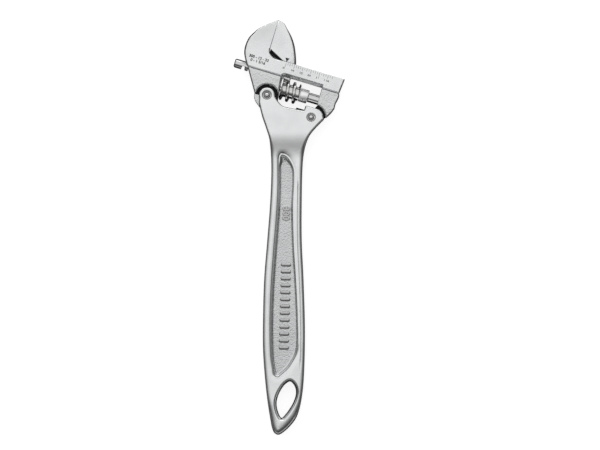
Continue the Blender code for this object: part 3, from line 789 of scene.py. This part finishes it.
def fixedJawSide():
    return smoothLine([(-12.5, headSizes["stepV"]), (-14.6, -7.4), (-16.4, -4.0), (-17.4, -1.0),
                       (-17.75, 3.0), (-16.9, 9.0), (-14.4, 13.7), (-11.8, 17.5), (-6.4, 22.4),
                       (-headSizes["jawGap"], 27.4)])


def channelCutters(names):
    s = headSizes
    made = []
    if "window" in names:
        made.append(prism("windowCut", windowOutline(0.0, 0.0, 0.0), -12.0, 12.0, fromHead))
        made += windowCutters()
    if "channel" in names:
        profile = rodProfile(s["channelRadius"], -40.0, 80.0)
        mesh = latheMesh("channelCut", profile, 48, alongSlide(s["shankV"]))
        made.append(newPiece("channelCut", mesh))
    if "slot" in names:
        corners = [(s["jawGap"], s["shankV"]), (80.0, s["shankV"]), (80.0, 8.0), (s["jawGap"], 8.0)]
        made.append(prism("webSlotCut", corners, -2.8, 2.8, fromHead))
    if "leftBore" in names:
        mesh = latheMesh("leftBoreCut", rodProfile(2.1, 10.2, 22.0), 32, alongSlide(s["pinV"]))
        made.append(newPiece("leftBoreCut", mesh))
    if "rightBore" in names:
        mesh = latheMesh("rightBoreCut", rodProfile(3.8, 40.0, 70.0), 40, alongSlide(s["pinV"]))
        made.append(newPiece("rightBoreCut", mesh))
    return made


def onHead(piece):
    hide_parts("head")
    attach(piece, "head")


def makeBar():
    s = headSizes
    gap = s["jawGap"]
    side = fixedJawSide()
    seam = [(-gap, 27.4), (-gap, 5.0)]
    throat = smoothLine([(-gap, 5.2), (0.9, 2.5), (3.9, 1.0), (7.8, -0.1), (12.6, -0.2)], 0.5)
    top = [(12.6, -0.2), (s["barEnd"], -0.2)]
    end = [(s["barEnd"], -0.2), (s["barEnd"] - 1.0, s["stepV"])]
    bottom = [(s["barEnd"] - 1.0, s["stepV"]), (-12.5, s["stepV"])]
    outline = side + seam[1:] + throat[1:] + top[1:] + end[1:]
    edges = [(seam, 0.2, 0.08), (top, 0.35, 0.3), (end, 0.9, 1.0), (bottom, 0.75, 1.2)]

    def height(flat):
        half = jawTaper(flat[:, 1])
        outer = distanceTo(flat, side, closed=False)
        half -= 1.5 * np.clip(1.0 - outer / 10.0, 0.0, 1.0) ** 2 * smoothStep((flat[:, 1] + 8.0) / 10.0)
        spread = 0.5 + 1.3 * np.exp(-((flat[:, 0] - 5.0) / 3.4) ** 2)
        fade = 1.0 - 0.8 * smoothStep((flat[:, 1] - 9.0) / 12.0)
        shaped = [(throat, spread, spread * 0.9), (side, 1.2 * fade, 1.35 * fade)]
        return half - deepestDrop(flat, edges + shaped)

    mesh = plateMesh("headBar", outline, [], height, fromHead, jawRings, cell=1.3, spacing=0.45)
    piece = newPiece("headBar", mesh)
    mesh = cutBy(piece, channelCutters(["window", "channel", "slot"]))
    finishShading(mesh)
    dress(piece, ["polishedChrome"])
    onHead(piece)


def makeFoot(name, outline, cutters):
    step = headSizes["stepV"]

    def height(flat):
        half = headSizes["footHalf"] - edgeDrop(distanceTo(flat, outline), 0.95, 1.0)
        groove = headSizes["footHalf"] - edgeDrop(np.abs(flat[:, 1] - step), 0.85, 1.1)
        return np.minimum(half, groove)

    rings = (0.07, 0.18, 0.35, 0.6, 0.95, 1.4)
    grooveRows = [[(u, step + shift) for u in np.arange(-12.0, 57.0, 0.6)]
                  for shift in (-0.95, -0.8, -0.5, -0.2, 0.05)]
    mesh = plateMesh(name, outline, [], height, fromHead, rings, cell=1.2, spacing=0.45, extra=grooveRows)
    piece = newPiece(name, mesh)
    mesh = cutBy(piece, channelCutters(cutters))
    finishShading(mesh)
    dress(piece, ["satinChrome"])
    onHead(piece)


def leftFootOutline():
    s = headSizes
    line = divided([(-9.5, -9.4), (-12.2, s["stepV"]), (-1.7, -27.9)], closed=False)
    line += arcPoints((s["pivotU"], s["pivotV"]), s["notchRadius"], 184, 0, 44)
    line += divided([(20.0, -27.6), (20.0, -9.4)], closed=False)
    return line


def rightFootOutline():
    s = headSizes
    line = [(42.0, -9.4)]
    line += arcPoints((s["guideU"], s["guideV"]), s["cornerRadius"], 94, 17, 26)
    line += smoothLine([(53.3, -30.2), (54.6, -28.1), (56.0, -25.4), (57.1, -22.3)])
    line += smoothLine([(57.0, -21.2), (56.9, -19.0), (57.5, -15.8), (57.8, -12.7), (57.0, s["stepV"])])
    line += [(54.0, -9.4)]
    return line


def tongueOutline():
    s = headSizes
    line = divided([(-6.0, -19.0), (-1.7, -27.5)], closed=False)
    line += arcPoints((s["pivotU"], s["pivotV"]), 9.4, 201, 240, 10)
    line += divided([(7.0, -38.6), (12.0, -39.2), (44.0, -39.2), (46.6, -37.6), (50.2, -33.6),
                     (52.6, -30.6), (52.4, -29.4), (51.0, -24.0), (46.0, -22.0), (44.3, -24.2),
                     (42.6, -27.8), (37.4, -28.4), (37.0, -29.4), (30.5, -29.5), (30.2, -31.6),
                     (20.5, -32.6)], closed=False)
    line += smoothLine([(18.4, -31.9), (16.8, -29.8), (16.0, -27.6), (15.3, -20.0)])
    return line


def makeTongue():
    s = headSizes
    outline = tongueOutline()
    pivot = arcPoints((s["pivotU"], s["pivotV"]), 2.7, 0, 360, 36)[:-1]
    guide = arcPoints((s["guideU"] + 0.23, s["guideV"] + 1.3), 2.5, 0, 180, 16)
    guide += arcPoints((s["guideU"], s["guideV"]), 2.5, 180, 360, 16)

    def height(flat):
        return s["tongueHalf"] - roundOver(distanceTo(flat, outline), 0.5)

    rings = (0.08, 0.25, 0.5, 0.9)
    mesh = plateMesh("headTongue", outline, [pivot, guide], height, fromHead, rings, cell=2.2, spacing=0.6)
    piece = newPiece("headTongue", mesh)
    mesh = cutBy(piece, channelCutters(["leftBore", "rightBore"]))
    splitMesh(mesh, fromHead(0.0, -28.6), riseAxis)
    splitMesh(mesh, fromHead(4.2, 0.0), slideAxis)
    finishShading(mesh)
    # the tongue is painted near black as the shade in the gap round the ear; only its lower left corner,
    # outside the gap, keeps the satin finish
    dress(piece, ["blackenedSteelAndShade", "satinChrome"])
    corner = fromHead(4.2, -28.6)
    for face in mesh.polygons:
        reach = Vector(face.center) - corner
        if reach.dot(slideAxis) < 0.0 and reach.dot(riseAxis) < 0.0:
            face.material_index = 1
    onHead(piece)


def markMatrix(u, v, z):
    return frameMatrix(fromHead(u, v, z), slideAxis, riseAxis)


tickSizes = {"Count": 23, "Spacing": 0.0015875, "Short": 0.0015, "Middle": 0.0019, "Long": 0.0026,
             "Full": 0.0046, "Width": 0.00022, "Height": 0.00006}
# words, place along the bar and size of the letters
scaleNumbers = (("0", 13.3, 2.0), ("1/4", 20.1, 1.9), ("1/2", 26.6, 1.9), ("3/4", 32.6, 1.9),
                ("1", 38.2, 2.3), ("1 1/4", 45.6, 1.9))
# length in mm and inches and opening in mm, then the opening in inches, with their places across the jaw
sizeNumbers = (("300 - 12 - 33", -3.3), ("0 - 1 5/16", -6.0))
inkRise = 0.00003


def makeScale():
    top = headSizes["barHalf"]
    tree = rulerTree(finish["etchedInk"], tickSizes)
    piece = growTree("scaleTicks", tree, tickSizes, markMatrix(14.2, -0.75, top))
    onHead(piece)
    for index, (words, u, height) in enumerate(scaleNumbers):
        mark = raisedText("scaleNumber" + str(index), words, height * mm, inkRise,
                          markMatrix(u, -5.0, top), "etchedInk", bold=0.00006)
        onHead(mark)
    for index, (words, v) in enumerate(sizeNumbers):
        mark = raisedText("sizeNumber" + str(index), words, 0.0028, inkRise,
                          markMatrix(-5.6, v, top), "etchedInk", bold=0.0001)
        onHead(mark)


# sliding jaw

rackSizes = {"radius": 3.3, "start": -21.8, "end": 20.6, "crestAtTop": 19.6, "lead": 4.9,
             "crest": 1.5, "flank": 0.42, "wormRadius": 7.8, "wormRoot": 4.95}


def slidingJawSide():
    return smoothLine([(headSizes["jawGap"], 27.2), (4.7, 26.0), (7.5, 23.3), (12.2, 18.7),
                       (15.8, 13.8), (18.4, 8.5), (20.5, 3.1), (21.3, 0.1)])


def onJaw(piece):
    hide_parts("movable_jaw")
    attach(piece, "jaw")


def makeJawBody():
    gap = headSizes["jawGap"]
    side = slidingJawSide()
    low = -0.1
    floor = [(21.3, low), (11.6, low)]
    throat = [(11.6, low), (gap + 0.7, 5.2)]
    seam = [(gap, 6.4), (gap, 27.2)]
    outline = side + [(21.0, low), (11.6, low), (11.2, 0.1), (gap + 0.7, 5.2), (gap, 6.4)]
    edges = [(floor, 0.15, 0.12), (throat, 0.3, 0.25), (seam, 0.6, 0.2)]

    def height(flat):
        half = jawTaper(flat[:, 1])
        outer = distanceTo(flat, side, closed=False)
        half -= 1.3 * np.clip(1.0 - outer / 9.0, 0.0, 1.0) ** 2
        fade = 1.0 - 0.75 * smoothStep((flat[:, 1] - 14.0) / 13.0)
        return half - deepestDrop(flat, edges + [(side, 1.2 * fade, 1.35 * fade)])

    mesh = plateMesh("jawBody", outline, [], height, fromHead, jawRings, cell=1.3, spacing=0.45)
    piece = newPiece("jawBody", mesh)
    finishShading(mesh)
    dress(piece, ["polishedChrome"])
    onJaw(piece)
    u, v, half, top = 14.2, 1.3, 1.3, headSizes["barHalf"]
    triangle = [(u - 1.6, v + half), (u, v - half), (u + 1.6, v + half)]
    arrow = prism("jawPointer", triangle, top - 0.05, top + 0.03, fromHead)
    dress(arrow, ["etchedInk"])
    onJaw(arrow)


def makeRack():
    r = rackSizes
    gap = headSizes["jawGap"]
    bevel = 0.8
    profile = [(0.0, r["end"]), (r["radius"] - bevel, r["end"]), (r["radius"], r["end"] - bevel),
               (r["radius"], r["start"] + bevel), (r["radius"] - bevel, r["start"]), (0.0, r["start"])]
    rack = newPiece("jawRack", latheMesh("jawRack", profile, 56, alongSlide(headSizes["shankV"])))
    crown = headSizes["shankV"] - r["radius"] - 0.6
    floor = headSizes["pinV"] + r["wormRadius"] + 0.45
    mouth = r["crest"] / 2 + r["flank"] + 0.35
    root = r["crest"] / 2 + 0.35
    comb = [(r["crestAtTop"] + 6.0, crown - 2.0)]
    for index in range(8):
        place = r["crestAtTop"] - r["lead"] * index
        comb += [(place + mouth, crown), (place + root, floor)]
        comb += [(place - root, floor), (place - mouth, crown)]
    comb.append((comb[-1][0] - 5.0, crown - 2.0))
    slope = r["lead"] / (math.pi * (r["wormRadius"] + r["wormRoot"]))
    cutBy(rack, [prism("rackGaps", comb, -6.0, 6.0, lambda u, v, z: fromHead(u + slope * z, v, z))])
    finishShading(rack.data)
    dress(rack, ["turnedSteel"])
    onJaw(rack)
    low = headSizes["shankV"] + 2.0
    right = r["end"] - 0.5
    outline = [(gap + 0.3, low), (right, low), (right, 2.5), (11.0, 2.5), (gap + 0.3, 6.4)]
    web = prism("jawWeb", outline, -2.5, 2.5, fromHead)
    finishShading(web.data)
    dress(web, ["blackenedSteelAndShade"])
    onJaw(web)


# worm and what runs on its pin

wormSizes = {"start": 15.9, "end": 29.6, "steps": 120, "chamfer": 1.3}


def wormThread():
    r = rackSizes
    half = r["crest"] / 2
    shape = bmesh.new()
    profile = [(-half - r["flank"] - 0.25, r["wormRoot"]), (-half - r["flank"], r["wormRoot"] + 0.2),
               (-half - 0.05, r["wormRadius"] - 0.35), (-half + 0.3, r["wormRadius"]),
               (half - 0.3, r["wormRadius"]), (half + 0.05, r["wormRadius"] - 0.35),
               (half + r["flank"], r["wormRoot"] + 0.2), (half + r["flank"] + 0.25, r["wormRoot"])]
    steps = wormSizes["steps"]
    rows = []
    for step in range(steps):
        angle = 2 * math.pi * step / steps
        row = []
        for turn in range(-1, 7):
            for place, radius in profile:
                u = r["crestAtTop"] - r["lead"] * 3 + place + r["lead"] * (turn + step / steps)
                row.append(shape.verts.new(fromHead(u, headSizes["pinV"] + radius * math.cos(angle),
                                                    radius * math.sin(angle))))
        rows.append(row)
    count = len(rows[0])
    pitch = len(profile)
    for step in range(steps - 1):
        for index in range(count - 1):
            shape.faces.new((rows[step][index], rows[step][index + 1],
                             rows[step + 1][index + 1], rows[step + 1][index]))
    for index in range(count - pitch - 1):
        shape.faces.new((rows[-1][index], rows[-1][index + 1],
                         rows[0][index + pitch + 1], rows[0][index + pitch]))
    lowRing = [row[0] for row in rows] + rows[0][pitch:0:-1]
    highRing = [row[-1] for row in rows] + rows[-1][count - 2:count - pitch - 2:-1]
    for ring, u in ((lowRing, -12.0), (highRing, 52.0)):
        centre = shape.verts.new(fromHead(u, headSizes["pinV"]))
        for before, after in zip(ring, ring[1:] + ring[:1]):
            shape.faces.new((before, after, centre))
    faceOutward(shape)
    mesh = bpy.data.meshes.new("wormBody")
    shape.to_mesh(mesh)
    shape.free()
    return mesh


def makeWorm():
    w = wormSizes
    r = rackSizes
    piece = newPiece("wormBody", wormThread())
    outer = r["wormRadius"] + 0.4
    face = outer - w["chamfer"] - 0.4
    outline = [(0.0, w["end"]), (face, w["end"]), (outer, w["end"] - w["chamfer"]),
               (outer, w["start"] + w["chamfer"]), (face, w["start"]), (0.0, w["start"])]
    axis = alongSlide(headSizes["pinV"])
    blank = newPiece("wormBlank", latheMesh("wormBlank", outline, 96, axis))
    cutBy(piece, [blank], "INTERSECT")
    floor = w["start"] + 2.8
    bore = [(0.0, 32.0), (3.8, 32.0), (3.8, floor), (2.1, floor), (2.1, 13.0), (0.0, 13.0)]
    cutter = newPiece("wormBore", latheMesh("wormBore", bore, 48, axis))
    cutBy(piece, [cutter])
    finishShading(piece.data, 30.0)
    dress(piece, ["wormChrome"])
    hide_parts("worm")
    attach(piece, "worm")


collarSizes = {"start": 29.9, "end": 36.2, "radius": 4.9, "bore": 3.8, "bevel": 0.45}


def makeCollar():
    start, end, radius, bore, bevel = collarSizes.values()
    soft = 0.13
    profile = [(bore, end), (radius - bevel, end), (radius - soft, end - soft), (radius, end - bevel),
               (radius, start + bevel), (radius - soft, start + soft), (radius - bevel, start),
               (bore, start), (bore, end)]
    mesh = latheMesh("collarRing", profile, 72, alongSlide(headSizes["pinV"]))
    piece = newPiece("collarRing", mesh)
    finishShading(piece.data)
    # the collar gets the near white painted highlight finish
    dress(piece, ["paintedHighlightCollar"])
    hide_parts("thrust_collar")
    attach(piece, "carriage")


pinSizes = {"thick": 3.5, "thin": 1.8, "start": 11.2, "step": 36.4, "end": 56.0, "bevel": 0.4}


def makePin():
    thick, thin, start, step, end, bevel = pinSizes.values()
    profile = [(0.0, end), (thick - bevel, end), (thick, end - bevel), (thick, step + 0.3),
               (thick - 0.3, step), (thin, step), (thin, start + bevel), (thin - bevel, start),
               (0.0, start)]
    mesh = latheMesh("slottedPin", profile, 56, alongSlide(headSizes["pinV"]))
    piece = newPiece("slottedPin", mesh)
    low, high = headSizes["pinV"] - 5.0, headSizes["pinV"] + 5.0
    slotOutline = [(end - 1.2, low), (end + 2.0, low), (end + 2.0, high), (end - 1.2, high)]
    slot = prism("pinSlot", slotOutline, -0.5, 0.5, fromHead)
    cutBy(piece, [slot])
    finishShading(piece.data)
    dress(piece, ["turnedSteel"])
    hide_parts("worm_pin")
    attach(piece, "head")


rivetSizes = {"lip": 0.4, "domeFoot": 5.9, "domeRise": 2.6, "lipTop": 6.5, "lipFoot": 6.3}


def makeRivet(name, node, u, v, shank):
    r = rivetSizes
    crown = shank + r["lip"]
    angles = [math.radians(degrees) for degrees in range(0, 79, 6)]
    dome = [((shank + 0.1) * math.sin(a), r["domeFoot"] + r["domeRise"] * math.cos(a)) for a in angles]
    upper = dome + [(crown, r["lipTop"]), (crown, r["lipFoot"]), (shank, r["lipFoot"])]
    profile = upper + [(radius, -height) for radius, height in reversed(upper)]
    piece = newPiece(name, latheMesh(name, profile, 64, acrossHead(u, v)))
    finishShading(piece.data)
    dress(piece, ["rivetSteel"])
    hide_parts(node)
    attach(piece, "handle")


# foot is one end of the coil in the head's coordinates, and anchor is the end that would stay put if the
# coil were shortened
springSizes = {
    "wormSpringCoil": {
        "node": "worm_spring", "body": "head", "foot": (19.2, -19.8), "along": slideAxis,
        "joint": "ratchet_slide", "anchor": (35.6, -19.8), "keep": 0.58,
        "coil": {"Coil Radius": 0.00285, "Wire Radius": 0.00042, "Length": 0.0164, "Turns": 7.0}},
    "returnSpringCoil": {
        "node": "return_spring", "body": "handle", "foot": (27.0, -53.8), "along": riseAxis,
        "joint": "head_pivot", "anchor": (27.0, -53.8), "keep": 0.9,
        "coil": {"Coil Radius": 0.0014, "Wire Radius": 0.00032, "Length": 0.0076, "Turns": 6.0}},
}


def makeSprings():
    tree = springTree(finish["springSteel"], springSizes["wormSpringCoil"]["coil"])
    for name, spring in springSizes.items():
        along = spring["along"]
        across = Vector((0.0, 0.0, 1.0))
        matrix = Matrix((across, along.cross(across), along)).transposed().to_4x4()
        matrix.translation = fromHead(*spring["foot"])
        piece = growTree(name, tree, spring["coil"], matrix)
        finishShading(piece.data, 60.0)
        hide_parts(spring["node"])
        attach(piece, spring["body"])
        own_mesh(piece)


makeHandle()
makeRelief()
print("handle done")
makeBar()
makeFoot("headHeel", leftFootOutline(), ["window", "channel", "leftBore"])
makeFoot("headToe", rightFootOutline(), ["window", "channel", "rightBore"])
makeTongue()
makeScale()
print("head done")
makeJawBody()
makeRack()
makeWorm()
makeCollar()
makePin()
makeRivet("pivotRivet", "pivot_pin", headSizes["pivotU"], headSizes["pivotV"], 2.4)
makeRivet("guideRivet", "guide_pin", headSizes["guideU"], headSizes["guideV"], 2.2)
makeSprings()
plunger = frame["nodes"]["return_plunger"]
dress(plunger, ["turnedSteel"])
print("moving pieces done")


# floor, light and camera

lightSizes = {"skyStrength": 1.14, "brightest": (-0.08, 0.62, 0.78), "horizonGlow": 0.24, "nearFill": 0.6,
              "stripPower": 2.4, "stripPlace": (0.0, 1.2, 0.38), "stripSize": (1.8, 0.35)}
cameraSizes = {"lens": 200.0, "sensor": 36.0, "width": 0.4327, "x": 0.00788, "y": 0.00177, "focus": 0.0165}


def makeFloor():
    mesh = bpy.data.meshes.new("paleFloor")
    shape = bmesh.new()
    bmesh.ops.create_grid(shape, x_segments=1, y_segments=1, size=3.0)
    shape.to_mesh(mesh)
    shape.free()
    floor = newPiece("paleFloor", mesh)
    material = bpy.data.materials.new("paleFloor")
    material.use_nodes = True
    tree = material.node_tree
    fillInputs(tree, tree.nodes["Principled BSDF"], {
        "Base Color": (0.35, 0.35, 0.35, 1.0), "Roughness": 0.9, "Specular IOR Level": 0.0,
        "Emission Color": (1.0, 1.0, 1.0, 1.0), "Emission Strength": 0.85})
    mesh.materials.append(material)
    floor.location.z = -0.0002
    floor.visible_glossy = False


def fadeNode(tree, value, start, end):
    node = addNode(tree, "ShaderNodeMapRange", {"Value": value, "From Min": start, "From Max": end},
                   interpolation_type="SMOOTHSTEP")
    return node.outputs["Result"]


def makeSky():
    world = bpy.data.worlds.new("softStudio")
    bpy.context.scene.world = world
    world.use_nodes = True
    tree = world.node_tree
    place = tree.nodes.new("ShaderNodeTexCoord").outputs["Generated"]
    brightest = Vector(lightSizes["brightest"]).normalized()
    facing = addNode(tree, "ShaderNodeVectorMath", {0: place, 1: brightest}, operation="DOT_PRODUCT")
    lift = addNode(tree, "ShaderNodeMapRange", {
        "Value": facing.outputs["Value"], "From Min": -1.0, "From Max": 1.0})
    ramp = addNode(tree, "ShaderNodeValToRGB", {"Fac": lift.outputs["Result"]})
    # how bright the sky is, by the cosine of the angle from its brightest direction
    steps = [(-0.6, 0.04), (0.0, 0.06), (0.25, 0.10), (0.45, 0.26), (0.62, 0.64),
             (0.78, 1.05), (0.88, 0.96), (1.0, 0.84)]
    elements = ramp.color_ramp.elements
    while len(elements) < len(steps):
        elements.new(0.5)
    for element, (cosine, value) in zip(elements, steps):
        element.position = (cosine + 1.0) / 2.0
        element.color = (value, value, value * 1.005, 1.0)
    # a low glow all round and a fill at the near side, so that the sides read from other angles
    y, z = addNode(tree, "ShaderNodeSeparateXYZ", {"Vector": place}).outputs[1:3]
    level = fadeNode(tree, mathNode(tree, "ABSOLUTE", z), 0.22, 0.06)
    aside = mathNode(tree, "MULTIPLY", level, fadeNode(tree, y, -0.6, -0.3))
    glow = mathNode(tree, "MULTIPLY", aside, lightSizes["horizonGlow"])
    band = mathNode(tree, "MULTIPLY", fadeNode(tree, z, 0.1, 0.2), fadeNode(tree, z, 0.46, 0.32))
    near = mathNode(tree, "MULTIPLY", band, fadeNode(tree, y, -0.35, -0.6))
    fill = mathNode(tree, "MULTIPLY", near, lightSizes["nearFill"])
    low = mathNode(tree, "MAXIMUM", ramp.outputs["Color"], glow)
    background = tree.nodes["Background"]
    fillInputs(tree, background, {
        "Color": mathNode(tree, "MAXIMUM", low, fill), "Strength": lightSizes["skyStrength"]})
    plain = addNode(tree, "ShaderNodeBackground", {"Color": (0.97, 0.97, 0.97, 1.0), "Strength": 1.0})
    path = tree.nodes.new("ShaderNodeLightPath")
    mix = addNode(tree, "ShaderNodeMixShader", {
        0: path.outputs["Is Camera Ray"], 1: background.outputs[0], 2: plain.outputs[0]})
    fillInputs(tree, tree.nodes["World Output"], {"Surface": mix.outputs[0]})


def areaLight(name, place, target, size, power):
    data = bpy.data.lights.new(name, "AREA")
    data.shape = "RECTANGLE"
    data.size, data.size_y = size
    data.energy = power
    lamp = bpy.data.objects.new(name, data)
    lamp.location = place
    lamp.rotation_euler = (Vector(target) - Vector(place)).to_track_quat("-Z", "Y").to_euler()
    bpy.context.scene.collection.objects.link(lamp)


def makeCamera():
    c = cameraSizes
    data = bpy.data.cameras.new("viewCamera")
    data.lens = c["lens"]
    data.sensor_width = c["sensor"]
    camera = bpy.data.objects.new("viewCamera", data)
    distance = c["width"] * c["lens"] / c["sensor"]
    camera.location = (c["x"], c["y"], distance + c["focus"])
    bpy.context.scene.collection.objects.link(camera)
    bpy.context.scene.camera = camera


makeFloor()
makeSky()
areaLight("stripLight", lightSizes["stripPlace"], (0.0, 0.0, 0.0), lightSizes["stripSize"],
          lightSizes["stripPower"])
makeCamera()
bpy.context.scene.view_settings.view_transform = "Standard"
print("stage ready")
